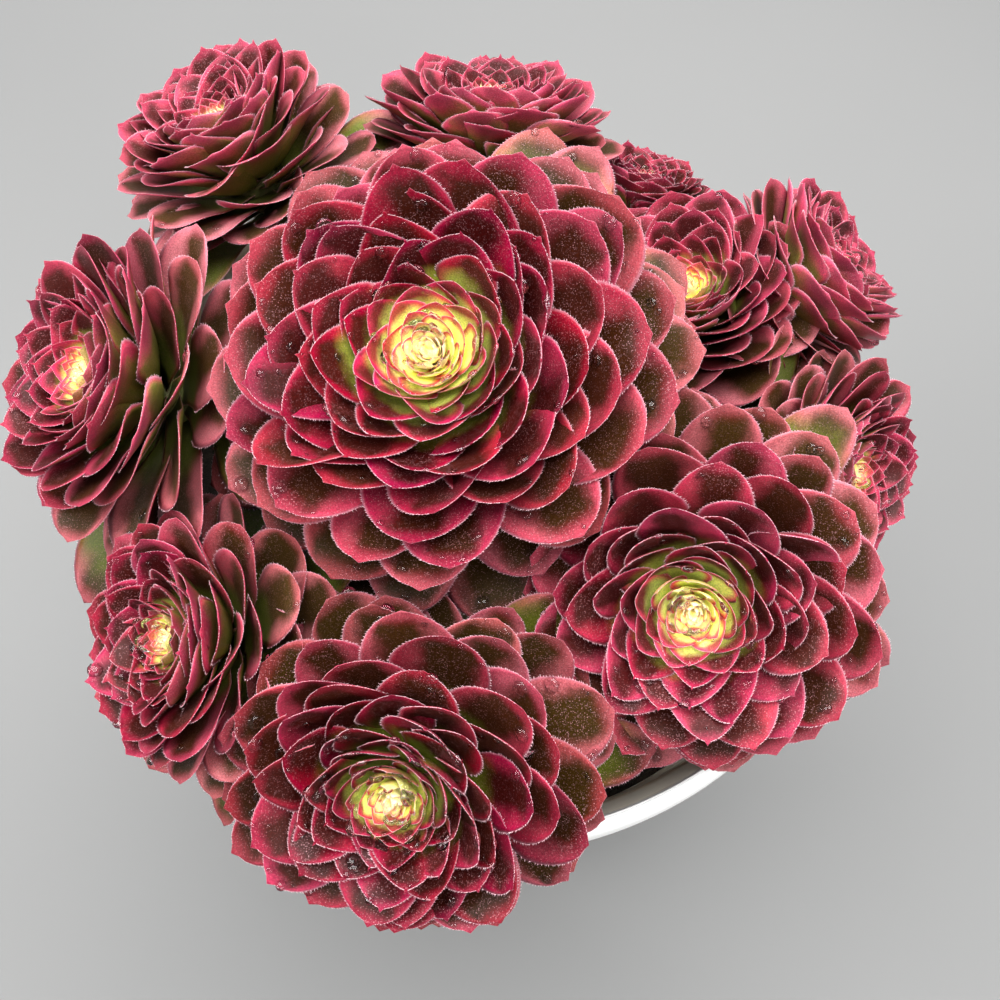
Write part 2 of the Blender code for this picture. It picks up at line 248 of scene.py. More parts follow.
leafSkin = dict(
    # colours by age, from the bud to the oldest leaves; the bud's near-white lime and cream are
    # partly its own colour, partly painted glow of light through its thin leaves
    centre=[(0.0, (0.80, 0.58, 0.26)), (0.06, (0.58, 0.26, 0.13)), (0.12, (0.38, 0.090, 0.060)),
            (0.20, (0.13, 0.021, 0.017)), (0.34, (0.060, 0.0075, 0.0060)),
            (0.55, (0.050, 0.0070, 0.0045)), (0.8, (0.042, 0.015, 0.004)),
            (1.0, (0.050, 0.027, 0.006))],
    margin=[(0.0, (0.95, 0.72, 0.48)), (0.07, (0.88, 0.32, 0.29)), (0.15, (0.74, 0.10, 0.13)),
            (0.24, (0.54, 0.040, 0.062)), (0.36, (0.38, 0.024, 0.042)), (0.6, (0.36, 0.028, 0.048)),
            (0.82, (0.44, 0.070, 0.092)), (1.0, (0.52, 0.140, 0.145))],
    base=[(0.0, (0.96, 0.95, 0.58)), (0.10, (0.86, 0.92, 0.33)), (0.22, (0.66, 0.78, 0.16)),
          (0.38, (0.40, 0.46, 0.062)), (0.6, (0.14, 0.16, 0.018)), (1.0, (0.13, 0.16, 0.020))],
    greenReach=[(0.0, 0.88), (0.10, 0.74), (0.20, 0.70), (0.32, 0.63), (0.6, 0.52), (1.0, 0.47)],
    hangTone=1.6,      # age that the hanging leaves are coloured by
    hangGreen=0.40,    # how much further up they are green
    # how strong the crimson edge is
    edging=[(0.0, 0.35), (0.07, 0.95), (0.24, 0.95), (0.42, 0.60), (1.0, 0.20)],
    rim=(0.50, 0.024, 0.066),
    paleRim=(0.84, 0.36, 0.44),
    underGreen=(0.21, 0.23, 0.034),
    underPink=(0.56, 0.060, 0.112),
    underDark=(0.105, 0.014, 0.018),
    # pale speck colour: the leaf's own pale dots and dust, and painted glints of tiny water drops
    speckAndGlint=(0.70, 0.36, 0.39),
    # cells a metre, share of the cell a speck can fill, and how many cells have none
    specks=((3300, 0.66, 0.20), (1900, 0.48, 0.45), (800, 0.36, 0.74)),
    grainScale=2600.0,
)


def leafSkinMaterial():
    f = Finish("aeonium_leaf_skin")
    look = leafSkin
    along, side, age, under = f.tones("leafPlace")
    luck, shift, edge, luckToo = f.tones("leafTone")
    blotch = f.math("SUBTRACT", f.noise(75, 5.0, roughness=0.62), 0.5)

    # dark middle band of constant width, off to one side on most leaves
    offset = f.math("MULTIPLY_ADD", f.math("SUBTRACT", shift, 0.5), 0.20, side)
    across = f.math("ABSOLUTE", f.math("MULTIPLY_ADD", offset, 2.0, -1.0))
    across = f.math("MULTIPLY_ADD", blotch, 0.75, across)
    low = f.math("MULTIPLY_ADD", luckToo, 0.28, 0.16)
    band = f.step(across, low, f.math("ADD", low, 0.50), (1.0, 0.0))
    # old leaves keep a flushed border all the way round the tip
    rim = f.math("MAXIMUM", edge, f.math("MULTIPLY_ADD", along, 2.6, -1.66))
    border = f.math("MULTIPLY", f.step(rim, 0.72, 1.0), f.step(age, 0.45, 0.85, (0.0, 0.85)))
    band = f.math("SUBTRACT", band, border, clamp=True)
    colour = f.mix(band, f.ramp(age, look["margin"]), f.ramp(age, look["centre"]))

    # green or yellow towards the base, further up on young leaves and on the hanging ones
    reach = f.math("MULTIPLY_ADD", blotch, 0.35, f.curve(age, look["greenReach"]))
    hanging = f.step(age, look["hangTone"] - 0.2, look["hangTone"])
    reach = f.math("MULTIPLY_ADD", hanging, look["hangGreen"], reach)
    green = f.step(f.math("SUBTRACT", reach, along), -0.10, 0.16)
    colour = f.mix(green, colour, f.ramp(age, look["base"]))

    # crimson edge, broad on young leaves, and a pale edge line on all
    begin = f.step(age, 0.1, 0.5, (0.50, 0.66))
    line = f.step(f.math("MULTIPLY_ADD", blotch, 0.3, rim), begin, 0.92)
    line = f.math("MULTIPLY", line, f.curve(age, look["edging"]))
    colour = f.mix(line, colour, (*look["rim"], 1))
    colour = f.mix(f.step(edge, 0.93, 1.0, (0.0, 0.65)), colour, (*look["paleRim"], 1))

    # underside: olive towards the base, a flushed edge and tip and a dark cloud in the middle
    reddening = f.math("MULTIPLY_ADD", blotch, 0.6, along)
    flush = f.math("ADD", f.step(across, 0.56, 1.08), f.step(reddening, 0.60, 0.96), clamp=True)
    below = f.mix(flush, (*look["underGreen"], 1), (*look["underPink"], 1))
    cloud = f.math("MULTIPLY", band, f.step(reddening, 0.35, 0.75, (0.10, 0.55)))
    below = f.mix(cloud, below, (*look["underDark"], 1))
    below = f.mix(f.step(rim, 0.80, 1.0, (0.0, 0.5)), below, (*look["rim"], 1))
    below = f.mix(f.step(edge, 0.90, 1.0, (0.0, 0.5)), below, (*look["paleRim"], 1))
    below = f.mix(f.step(age, 0.10, 0.26, (1.0, 0.0)), below, f.ramp(age, look["base"]))
    colour = f.mix(f.step(under, 0.05, 0.45), colour, below)

    # fine grain, leaf to leaf tint and pale specks of three sizes, thicker in patches; the specks
    # are partly the leaf's own pale dots and dust, partly painted glints of tiny water drops
    grain = f.noise(look["grainScale"], 3.0, roughness=0.7)
    # young leaves are lifted to 1.18 here, above their own colour: painted glow of light through
    # the bud
    tintAndGlow = f.math("MULTIPLY_ADD", luck, 0.31, f.step(age, 0.10, 0.30, (1.18, 0.46)))
    tintAndGlow = f.math("MULTIPLY", tintAndGlow, f.step(grain, 0.25, 0.75, (0.62, 1.42)))
    tintAndGlow = f.math("MULTIPLY", tintAndGlow, f.math("MULTIPLY_ADD", blotch, 0.6, 1.0))
    tinted = f.node("ShaderNodeHueSaturation")
    f.join(f.math("MULTIPLY_ADD", luckToo, 0.014, 0.491), tinted.inputs["Hue"])
    f.join(f.math("MULTIPLY_ADD", luck, -0.06, 1.07), tinted.inputs["Saturation"])
    f.join(tintAndGlow, tinted.inputs["Value"])
    f.join(colour, tinted.inputs["Color"])
    colour = tinted.outputs[0]
    height = f.math("MULTIPLY", grain, 0.5)
    patches = f.step(f.noise(60, 3.0), 0.36, 0.66, (0.13, 0.44))
    for scale, most, none in look["specks"]:
        dots = f.node("ShaderNodeTexVoronoi", feature="F1")
        dots.inputs["Scale"].default_value = scale
        f.join(f.place(), dots.inputs["Vector"])
        chosen = f.node("ShaderNodeSeparateColor")
        f.join(dots.outputs["Color"], chosen.inputs[0])
        size = f.math("MULTIPLY", f.math("SUBTRACT", chosen.outputs[0], none), most)
        speckAndGlint = f.step(f.math("SUBTRACT", size, dots.outputs["Distance"]), -0.03, 0.05)
        speckAndGlint = f.math("MULTIPLY", speckAndGlint, f.math("MULTIPLY", patches, chosen.outputs[1]))
        colour = f.mix(speckAndGlint, colour, (*look["speckAndGlint"], 1))
        height = f.math("MULTIPLY_ADD", speckAndGlint, 0.7, height)

    f.bump(height, 0.55, 0.00025)
    rough = f.math("MULTIPLY_ADD", grain, 0.20, 0.26)
    return f.set(Base_Color=colour, Roughness=rough, Specular_IOR_Level=0.12)


hairLook = dict(pale=(0.92, 0.66, 0.70), young=(0.92, 0.70, 0.62), dark=(0.66, 0.18, 0.26),
                length=0.00050, root=0.00021, start=0.30, forward=0.35, spread=0.22)


def hairMaterial():
    f = Finish("aeonium_edge_hair")
    luck, age = f.tones("hairTone")[:2]
    colour = f.mix(f.step(age, 0.1, 0.3), (*hairLook["young"], 1), (*hairLook["pale"], 1))
    colour = f.mix(f.math("MULTIPLY", luck, 0.5), colour, (*hairLook["dark"], 1))
    return f.set(Base_Color=colour, Roughness=0.5, Specular_IOR_Level=0.4)


# rosettes

# reach and height are parts of the rosette's radius, from its heart; slopes are from level
leafGrowth = dict(
    age=(0.0, 0.08, 0.15, 0.3, 0.45, 0.6, 0.75, 0.9, 1.0, 1.15, 1.3),
    tipReach=(0.02, 0.10, 0.19, 0.37, 0.55, 0.72, 0.87, 0.98, 1.01, 1.01, 0.96),
    tipHeight=(0.055, 0.065, 0.075, 0.105, 0.13, 0.10, 0.0, -0.19, -0.36, -0.56, -0.74),
    baseReach=(0.01, 0.035, 0.05, 0.08, 0.09, 0.10, 0.11, 0.12, 0.13, 0.13, 0.13),
    baseHeight=(-0.10, -0.12, -0.14, -0.20, -0.26, -0.34, -0.43, -0.54, -0.64, -0.76, -0.88),
    startSlope=(80, 60, 42, 28, 22, 18, 18, 18, 16, 14, 12),
    endSlope=(102, 95, 86, 74, 62, 50, 38, 24, 12, 4, -2),
    width=(0.06, 0.16, 0.28, 0.40, 0.44, 0.47, 0.50, 0.51, 0.50, 0.49, 0.46),
    lastAge=((0.54, 1.08), (0.64, 1.22), (0.74, 1.32)),   # depth of the stack, age it ends at
    groupAges=(0.16, 0.56),   # heart leaves are younger than the first, outer ones older
    turn=math.radians(137.508),
    crowding=1.42,     # above 1 there are more young leaves
    cupping=((0.0, 0.2), (0.5, 0.5), (1.0, 0.9)),   # age, how far the sides bend up
    thickness=0.034,
    hangReach=1.28,    # how much longer the hanging leaves are
    # how far a leaf may pass into a neighbour's side: young, old and hanging
    overlap=(0.009, 0.026),
    hangOverlap=0.020,
    lipRing=0.004,     # depth of the middle of the pot's lip, and how far leaves stay from it
    lipClear=0.009,
    lipLift=0.40,      # the most that a leaf is raised over the lip
    shortest=0.5,      # share of its length that a crowded leaf keeps at least
    widest=0.78,       # where along a leaf it is widest
    handle=0.36,       # handles of the midrib's curve, beside its length
    ringSpacing=2.15,  # above 1 the rings of points close up towards the tip
    wrap=0.92,         # how closely a young leaf follows the round of the bud
    ripple=0.012,
    upper=0.30,        # share of the thickness above the midrib
    tipPoint=0.022,
    tipTurn=(-0.005, 0.007),
)
# size of the random part of each, in radians, parts of the radius, degrees for the slope
leafVariety = dict(turn=0.07, reach=0.035, height=0.028, slope=8.0, width=0.07, roll=0.12,
                   twist=0.16, cup=0.3, sway=0.05)
# reach: size beside the solid's; stretch: how much more of it there is in x and in y
# trail: how much further the oldest leaves spread
# ripe: how far the red has come into the heart; pale: how light and flushed the leaves are
crowns = dict(
    others=dict(leaves=134, hanging=4, rings=11, sides=10, hairs=20, drops=36, phase=0.7,
                wide=1.2, lift=0.10, reach=0.92, stretch=(1, 1), trail=0.0, ripe=1.2, pale=0.5),
    main=dict(leaves=181, hanging=9, rings=13, sides=12, hairs=40, drops=470, phase=0.3,
              wide=1.0, lift=0.0, reach=0.98, stretch=(1, 0.94), trail=0.08, ripe=1.0,
              pale=0.18),
    front_right=dict(leaves=151, hanging=5, rings=12, sides=12, hairs=36, drops=240, phase=1.1,
                     wide=1.0, lift=0.02, reach=0.95, stretch=(1, 1.07), ripe=1.1, pale=0.70),
    front=dict(leaves=151, hanging=5, rings=12, sides=12, hairs=36, drops=330, phase=2.4,
               wide=1.0, lift=0.0, reach=0.92, stretch=(1.12, 0.94), ripe=1.3, pale=0.05),
    left_front=dict(hanging=7, drops=150, reach=0.91, stretch=(1, 1.07), trail=0.15, ripe=1.25,
                    pale=0.45),
    left=dict(hanging=7, phase=2.0, reach=0.93, stretch=(0.94, 1.08), trail=0.25, ripe=1.2,
              pale=0.7),
    back_left=dict(phase=3.1, reach=0.88, stretch=(1.04, 0.90), trail=0.15, ripe=1.7,
                   pale=1.25),
    back=dict(phase=4.4, reach=0.92, stretch=(1.12, 0.97), lift=0.05, ripe=1.8, pale=1.15),
    inner_right=dict(drops=60, phase=5.2, ripe=1.1, pale=1.0),
    right_back=dict(phase=0.2, reach=0.90, ripe=1.7, pale=1.25),
    right=dict(phase=1.5, stretch=(0.96, 1.14), ripe=1.3, pale=1.1),
    back_right=dict(phase=2.7, ripe=1.8, pale=0.6),
)


# the solid heart's own radius and its height over the centre, in parts of the rosette's radius
heartSolid = dict(radius=0.26, top=0.15)


def crownOf(place):
    # a rosette's own settings over those of the others
    return {**crowns["others"], **crowns.get(place, {})}


def headFrame(place):
    # centre, axis, two directions across it and radius, read back from the solid heart: its
    # points spread alike in the two directions across the axis, and not along it
    points = solidPoints(f"{place}_rosette_heart")
    middle = points.mean(0)
    spread, ways = np.linalg.eigh(np.cov((points - middle).T))
    axis = ways[:, 0] if spread[1] - spread[0] > spread[2] - spread[1] else ways[:, 2]
    axis = axis * np.sign(axis[2])
    heights = (points - middle) @ axis
    fromAxis = np.linalg.norm(points - middle - np.outer(heights, axis), axis=1)
    radius = fromAxis.max() / heartSolid["radius"]
    across = np.cross(axis, (0, 0, 1))
    across = across / np.linalg.norm(across)
    centre = middle + axis * (heights.max() - heartSolid["top"] * radius)
    return centre, axis, across, np.cross(axis, across), radius


heads = {place: headFrame(place) for place in places}


def roomLeft(place, points):
    # how far points are from the plane that parts this rosette from its nearest neighbour
    centre, radius = heads[place][0], heads[place][4]
    own = ((points - centre) ** 2).sum(-1) - radius**2
    least = np.full(own.shape, 1.0)
    for other in places:
        if other != place:
            there, otherRadius = heads[other][0], heads[other][4]
            power = ((points - there) ** 2).sum(-1) - otherRadius**2
            least = np.minimum(least, (power - own) / (2 * np.linalg.norm(there - centre)))
    return least


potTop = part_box("pot")[1]


def lipGap(points):
    # how far points are from the ring inside the pot's lip
    outward = np.hypot(points[..., 0], points[..., 1]) - (potTop.x - leafGrowth["lipRing"])
    return np.hypot(outward, points[..., 2] - (potTop.z - leafGrowth["lipRing"]))


def leafOutline(part, age):
    # half width along a leaf, 1 at the widest: a narrow stalk that swells as a sine to three
    # quarters of the length, then an arch that closes to a tip, sharp on young leaves and
    # nearly round on old ones
    swell = 0.32 + 0.68 * np.sin(np.pi / 2 * np.clip(part / 0.74, 0, 1)) ** 1.7
    start = np.interp(age, (0.1, 0.7), (0.44, 0.57))
    closing = np.clip((part - start) / (1 - start), 0, 1) ** np.interp(age, (0.1, 0.8), (1.3, 2.7))
    return swell * (1 - closing) ** np.interp(age, (0.1, 0.35, 0.7), (0.98, 0.80, 0.50))


def growLeaves(place, crown):
    # every leaf of a rosette as one array of points: leaves x rings x sides. Leaf after leaf
    # turns on by the golden angle, and its age, 0 for the bud and about 1 at the rim, gives
    # its place, slopes, width and section
    centre, axis, across, along, radius = heads[place]
    g, vary = leafGrowth, leafVariety
    outer = solidPoints(f"{place}_rosette_outer_leaves")
    depth = -((outer - centre) @ axis).min() / radius
    lastAge = np.interp(depth, *zip(*g["lastAge"]))
    count = crown["leaves"]
    number = np.arange(count)
    hanging = number >= count - crown["hanging"]
    age = (number / (count - 1 - crown["hanging"])) ** g["crowding"] * lastAge
    age[hanging] = g["age"][-1]

    def byAge(name):
        return np.interp(age, g["age"], g[name])

    def loose(amount):
        return dice.normal(0, amount, count) * np.clip(age / 0.3, 0.15, 1)

    angle = crown["phase"] + number * g["turn"] + loose(vary["turn"])
    base = np.stack([byAge("baseReach"), byAge("baseHeight")], -1)
    raised = byAge("tipHeight") + crown["lift"] * np.sin(np.pi * np.clip(age / 1.3, 0, 1))
    trail = 1 + crown["trail"] * np.clip((age - 0.85) * 3, 0, 1)
    reach = byAge("tipReach") * crown["reach"] * trail
    reach[hanging] *= g["hangReach"]
    tip = np.stack([reach * (1 + loose(vary["reach"])), raised + loose(vary["height"])], -1)
    start = np.radians(byAge("startSlope"))
    end = np.radians(byAge("endSlope") + loose(vary["slope"]))
    width = byAge("width") * crown["wide"] * (1 + loose(vary["width"]))
    spread = across * np.cos(angle)[:, None] + along * np.sin(angle)[:, None]
    tip[:, 0] *= np.linalg.norm(spread * (*crown["stretch"], 1), axis=-1)
    sideways = along * np.cos(angle)[:, None] - across * np.sin(angle)[:, None]

    def handles(tip):
        # the midrib's two middle handles, along its slopes at both ends
        length = np.linalg.norm(tip - base, axis=-1)[:, None] * g["handle"]
        return (base + np.stack([np.cos(start), np.sin(start)], -1) * length,
                tip - np.stack([np.cos(end), np.sin(end)], -1) * length)

    def lipRoom(tip, shares):
        # the least distance from the midrib to the pot's lip, for each share of its length
        least = 1.0
        for t in np.linspace(0.4, 1, 13):
            at = curveAt((base, *handles(tip), tip), t)
            at = base + (at - base) * shares[:, None, None]
            at = centre + (spread * at[..., :1] + axis * at[..., 1:]) * radius
            least = np.minimum(least, lipGap(at))
        return least

    # a leaf that meets the pot's lip is raised over it, by the least of these steps that clears
    over = tip
    for more in np.linspace(g["lipLift"], 0, 11):
        higher = tip + np.array([0, more])
        clear = lipRoom(higher, np.ones(1))[0] > g["lipClear"]
        over = np.where(clear[:, None], higher, over)
    tip = over

    # a leaf that would reach a neighbour's side stays shorter
    shares = np.linspace(1, g["shortest"], 21)
    far = base + (tip - base) * shares[:, None, None]
    wide = base + (tip - base) * shares[:, None, None] * g["widest"]
    room = roomLeft(place, centre + (spread * far[..., :1] + axis * far[..., 1:]) * radius)
    for hand in (-1, 1):
        aside = sideways * (hand * width / 2)[:, None]
        edge = centre + (spread * wide[..., :1] + axis * wide[..., 1:] + aside) * radius
        room = np.minimum(room, roomLeft(place, edge))
    overlap = np.interp(age, (0.95, 1.15), g["overlap"])
    allowed = room > -np.where(hanging, g["hangOverlap"], overlap)
    allowed &= lipRoom(tip, shares) > g["lipClear"]
    share = np.where(allowed.any(0), shares[np.argmax(allowed, axis=0)], shares[-1])
    tip = base + (tip - base) * share[:, None]

    # midrib: a curve with four handles in the plane of the axis
    ring = np.arange(crown["rings"]) / crown["rings"]
    part = (1 - (1 - ring) ** g["ringSpacing"])[None, :, None]
    ends = [handle[:, None, :] for handle in (base, *handles(tip), tip)]
    rest = 1 - part
    rib = curveAt(ends, part)
    way = ((ends[1] - ends[0]) * rest**2 + (ends[2] - ends[1]) * 2 * part * rest
           + (ends[3] - ends[2]) * part**2)
    way = way / np.linalg.norm(way, axis=-1, keepdims=True)

    # the leaf's own sideways and upward directions, rolled a little about the midrib
    spread, sideways = spread[:, None, :], sideways[:, None, :]
    upward = axis * way[..., :1] - spread * way[..., 1:]
    roll = loose(vary["roll"])[:, None, None] + loose(vary["twist"])[:, None, None] * part
    acrossLeaf = sideways * np.cos(roll) + upward * np.sin(roll)
    upLeaf = upward * np.cos(roll) - sideways * np.sin(roll)

    # cross section: an arc that wraps about the axis when young, with a rounded lens on it
    outline = leafOutline(part, age[:, None, None])
    half = (width / 2)[:, None, None] * outline
    wrap = np.clip(way[..., 1:], 0, 1) / np.maximum(rib[..., :1], 0.04)
    cup = np.interp(age, *zip(*g["cupping"]))[:, None, None]
    cup = cup * (1 + loose(vary["cup"]))[:, None, None]
    bend = np.minimum(wrap * g["wrap"] + cup, 1.15 / np.maximum(half, 0.02))
    turn = 2 * np.pi * np.arange(crown["sides"]) / crown["sides"]
    x, lens = np.cos(turn), np.sin(turn)
    lateral = half * x
    arc = lateral * bend
    shiftSide = lateral * np.sinc(arc / np.pi)
    shiftUp = lateral * arc / 2 * np.sinc(arc / 2 / np.pi) ** 2
    ripple = np.sin(part * (7 + 3 * dice.random(count))[:, None, None]
                    + dice.random(count)[:, None, None] * 6.3) * g["ripple"]
    shiftUp = shiftUp + ripple * half / 0.2 * x**4 * np.sign(x)
    thick = g["thickness"] * np.clip(age / 0.45, 0.16, 1)[:, None, None]
    thick = thick * (1 - 0.62 * part) * np.minimum(1, outline * 2.2 + 0.1)
    thick = thick * np.where(lens > 0, g["upper"], 1 - g["upper"]) * lens
    shiftSide = shiftSide - np.sin(arc) * thick
    shiftUp = shiftUp + np.cos(arc) * thick
    sway = loose(vary["sway"])[:, None, None] * part**2
    spine = centre + (spread * rib[..., :1] + axis * rib[..., 1:] + sideways * sway) * radius
    skin = spine[:, :, None, :] + (acrossLeaf[:, :, None, :] * shiftSide[..., None]
                                   + upLeaf[:, :, None, :] * shiftUp[..., None]) * radius

    # a short point on the tip, turned up a little
    peak = ends[3] + way[:, -1:, :] * g["tipPoint"] + np.array(g["tipTurn"])
    point = centre + (spread * peak[..., :1] + axis * peak[..., 1:]
                      + sideways * sway[:, -1:]) * radius
    return dict(age=age, skin=skin, start=spine[:, :1], point=point, part=part, x=x,
                lens=lens, outline=outline, up=upLeaf, count=count, hanging=hanging)


def joinLeaves(leaves, chosen):
    # points, faces, tones and map of the leaves in one group
    skin = leaves["skin"][chosen]
    count, rings, sides = skin.shape[:3]
    points = np.concatenate([skin.reshape(count, -1, 3), leaves["start"][chosen],
                             leaves["point"][chosen]], axis=1)
    quads, triangles = tubeFaces(rings, sides)
    step = (rings * sides + 2) * np.arange(count)[:, None, None]
    shape = (count, rings, sides)
    along = np.broadcast_to(leaves["part"], shape)
    beside = leaves["outline"][chosen] * leaves["x"] * 0.5 + 0.5
    below = np.broadcast_to(np.clip(-leaves["lens"], 0, 1), shape)
    edge = np.broadcast_to(np.abs(leaves["x"]), shape)

    def toPoints(values, atStart, atTip):
        ends = np.stack([np.full(count, atStart), np.full(count, atTip)], -1)
        return np.concatenate([values.reshape(count, -1), ends], axis=1)

    age, luck, shift, luckToo = (
        np.repeat(leaves[key][chosen][:, None], rings * sides + 2, axis=1)
        for key in ("tone", "luck", "shift", "luckToo")
    )
    place = np.stack([toPoints(along, 0, 1), toPoints(beside, 0.5, 0.5), age,
                      toPoints(below, 0.5, 0.0)], -1)
    tone = np.stack([luck, shift, toPoints(edge, 0.0, 1.0), luckToo], -1)
    return (points.reshape(-1, 3), (quads + step).reshape(-1, 4),
            (triangles + step).reshape(-1, 3), place, tone, count)


def edgeHairs(leaves, crown):
    # short hairs that stand out of both edges of each leaf, each a closed three sided spike
    skin = leaves["skin"]
    count, rings, sides = skin.shape[:3]
    many = crown["hairs"]
    spot = np.linspace(hairLook["start"], 1.0, many) * (rings - 1)
    spot = np.clip(spot + dice.uniform(-0.12, 0.12, (count, 2, many)), 0, rings - 1.001)
    low = spot.astype(int)
    share = (spot - low)[..., None]
    edges = np.stack([skin[:, :, 0], skin[:, :, sides // 2]], 1)
    inner = np.stack([skin[:, :, 1] + skin[:, :, -1],
                      skin[:, :, sides // 2 - 1] + skin[:, :, sides // 2 + 1]], 1) / 2
    leaf, hand = np.arange(count)[:, None, None], np.arange(2)[None, :, None]
    root = edges[leaf, hand, low] * (1 - share) + edges[leaf, hand, low + 1] * share
    inward = inner[leaf, hand, low] * (1 - share) + inner[leaf, hand, low + 1] * share
    ahead = edges[leaf, hand, low + 1] - edges[leaf, hand, low]
    out = unit(root - inward)
    ahead = unit(ahead)
    rise = unit(np.cross(out, ahead))
    scale = np.clip(leaves["age"] / 0.35, 0.45, 1)[:, None, None, None]
    size = hairLook["length"] * dice.uniform(0.7, 1.25, spot.shape)[..., None] * scale
    lean = dice.normal(0, hairLook["spread"], (*spot.shape, 2))
    forward = hairLook["forward"] + lean[..., :1]
    tip = root + (out + ahead * forward + rise * lean[..., 1:]) * size
    thick = hairLook["root"] / 2 * np.maximum(scale, 0.7)
    turns = 2 * np.pi * np.arange(3) / 3
    feet = (root - out * thick)[..., None, :] + (
        ahead[..., None, :] * np.cos(turns)[:, None] + rise[..., None, :] * np.sin(turns)[:, None]
    ) * thick[..., None]
    points = np.concatenate([feet, tip[..., None, :]], axis=-2).reshape(-1, 3)
    total = len(points) // 4
    faces = np.array([(0, 1, 3), (1, 2, 3), (2, 0, 3), (2, 1, 0)])
    triangles = (faces + 4 * np.arange(total)[:, None, None]).reshape(-1, 3)
    return points, triangles, np.repeat(leaves["age"], 2 * many)


skinMaterial = leafSkinMaterial()
hairSkin = hairMaterial()
allLeaves = {}


def makeRosette(place):
    crown = crownOf(place)
    leaves = growLeaves(place, crown)
    count = leaves["count"]
    leaves["luck"], leaves["shift"], leaves["luckToo"] = dice.random((3, count))
    leaves["luck"] += crown["pale"]
    leaves["luckToo"] *= 1 - crown["pale"] * 0.5
    leaves["tone"] = np.minimum(leaves["age"] * crown["ripe"], np.maximum(leaves["age"], 0.5))
    leaves["tone"][leaves["hanging"]] = leafSkin["hangTone"]
    age = leaves["age"]
    opened, grown = leafGrowth["groupAges"]
    groups = (("heart", age < opened), ("inner_leaves", (age >= opened) & (age < grown)),
              ("outer_leaves", age >= grown))
    for slot, chosen in groups:
        points, quads, triangles, tones, moreTones, many = joinLeaves(leaves, chosen)
        name = f"{place}_rosette_{slot}"
        piece = makePiece(name + "_shaped", points, quads, triangles, skinMaterial, [name])
        writeTones(piece, "leafPlace", tones)
        writeTones(piece, "leafTone", moreTones)
        writeBakeMap(piece, leafMap(crown["rings"], crown["sides"], many))
    points, triangles, hairAge = edgeHairs(leaves, crown)
    total = len(triangles) // 4
    luck = dice.random(total)
    piece = makePiece(f"{place}_rosette_leaf_hairs", points, np.zeros((0, 4), int), triangles,
                      hairSkin)
    tones = np.stack([luck, hairAge, luck * 0, luck * 0 + 1], -1)
    tones = np.repeat(tones, 4, axis=0)
    writeTones(piece, "hairTone", tones)
    writeBakeMap(piece, spikeMap(total))
    allLeaves[place] = leaves
    return count


for place in places:
    print("rosette", place, makeRosette(place), "leaves")


# water drops

dropLook = dict(smallest=0.00045, largest=0.0021, rarity=2.2, flat=0.55, rings=4, sides=10)


def waterMaterial():
    f = Finish("clear_water_drop")
    return f.set(Base_Color=(1, 1, 1, 1), Roughness=0.02, Transmission_Weight=1.0, IOR=1.333)


def makeDrops(place, many):
    # low round caps set on the upper side of leaves: radius falls as a cosine to the top
    leaves = allLeaves[place]
    skin = leaves["skin"]
    count, rings, sides = skin.shape[:3]
    leaf = dice.integers(int(count * 0.1), count, many)
    ring = dice.integers(int(rings * 0.45), rings - 2, many)
    side = dice.integers(1, sides // 2, many)
    share = dice.random((many, 2))[..., None]
    a, b = skin[leaf, ring, side], skin[leaf, ring + 1, side]
    c = skin[leaf, ring, (side + 1) % sides]
    spot = a + (b - a) * share[:, 0] + (c - a) * share[:, 1]
    up = unit(np.cross(b - a, c - a))
    facing = np.sign((up * leaves["up"][leaf, ring]).sum(-1, keepdims=True))
    up = up * facing
    one = unit(np.cross(up, (0.3, 0.2, 1.0)))
    two = np.cross(up, one)
    d = dropLook
    size = d["smallest"] + dice.random(many) ** d["rarity"] * (d["largest"] - d["smallest"])
    turn = np.linspace(-0.5, np.pi / 2, d["rings"], endpoint=False)
    around = 2 * np.pi * np.arange(d["sides"]) / d["sides"]
    reach = np.cos(turn)[:, None, None]
    height = np.sin(turn)[:, None, None] * d["flat"]
    ring = (one[:, None, None] * np.cos(around)[:, None] * reach
            + two[:, None, None] * np.sin(around)[:, None] * reach + up[:, None, None] * height)
    scale = size[:, None, None, None]
    skin = (spot[:, None, None] + ring * scale).reshape(many, -1, 3)
    low = spot + up * (np.sin(turn[0]) * d["flat"] * size)[:, None]
    high = spot + up * (d["flat"] * size)[:, None]
    points = np.concatenate([skin, low[:, None], high[:, None]], axis=1)
    quads, triangles = tubeFaces(d["rings"], d["sides"])
    step = points.shape[1] * np.arange(many)[:, None, None]
    return makePiece(f"{place}_rosette_water_drops", points.reshape(-1, 3),
                     (quads + step).reshape(-1, 4), (triangles + step).reshape(-1, 3),
                     water)


water = waterMaterial()
for place in places:
    makeDrops(place, crownOf(place)["drops"])
print("water drops made")


# branched stem

stemShape = dict(trunkRadius=0.0125, trunkFoot=0.044, trunkRings=40, fork=0.017, crown=0.014,
                 crownRadius=0.72, branchRings=60, sides=24, scarStep=0.0021, scarHeight=0.00028,
                 outward=0.40, branchThick=(1.12, 0.98),
                 # how far a branch goes into its head, how it rises from the fork when it
                 # ends far out or near, and how straight it comes up into the head
                 intoHead=0.12, nearFork=0.03, riseFar=0.010, riseNear=0.03,
                 lastLeast=0.018, lastShare=0.22)
stemSkin = dict(barkDark=(0.16, 0.105, 0.060, 1), barkPale=(0.33, 0.25, 0.165, 1),
                greenDark=(0.095, 0.105, 0.022, 1), greenPale=(0.17, 0.19, 0.045, 1),
                scar=(0.26, 0.16, 0.085, 1), fleck=(0.05, 0.035, 0.02, 1))
branchRadius = dict(main=0.0075, front_right=0.0065, front=0.0065, left_front=0.0065, left=0.0060,
                    back_left=0.0060, back=0.0055, back_right=0.0045, others=0.0050)


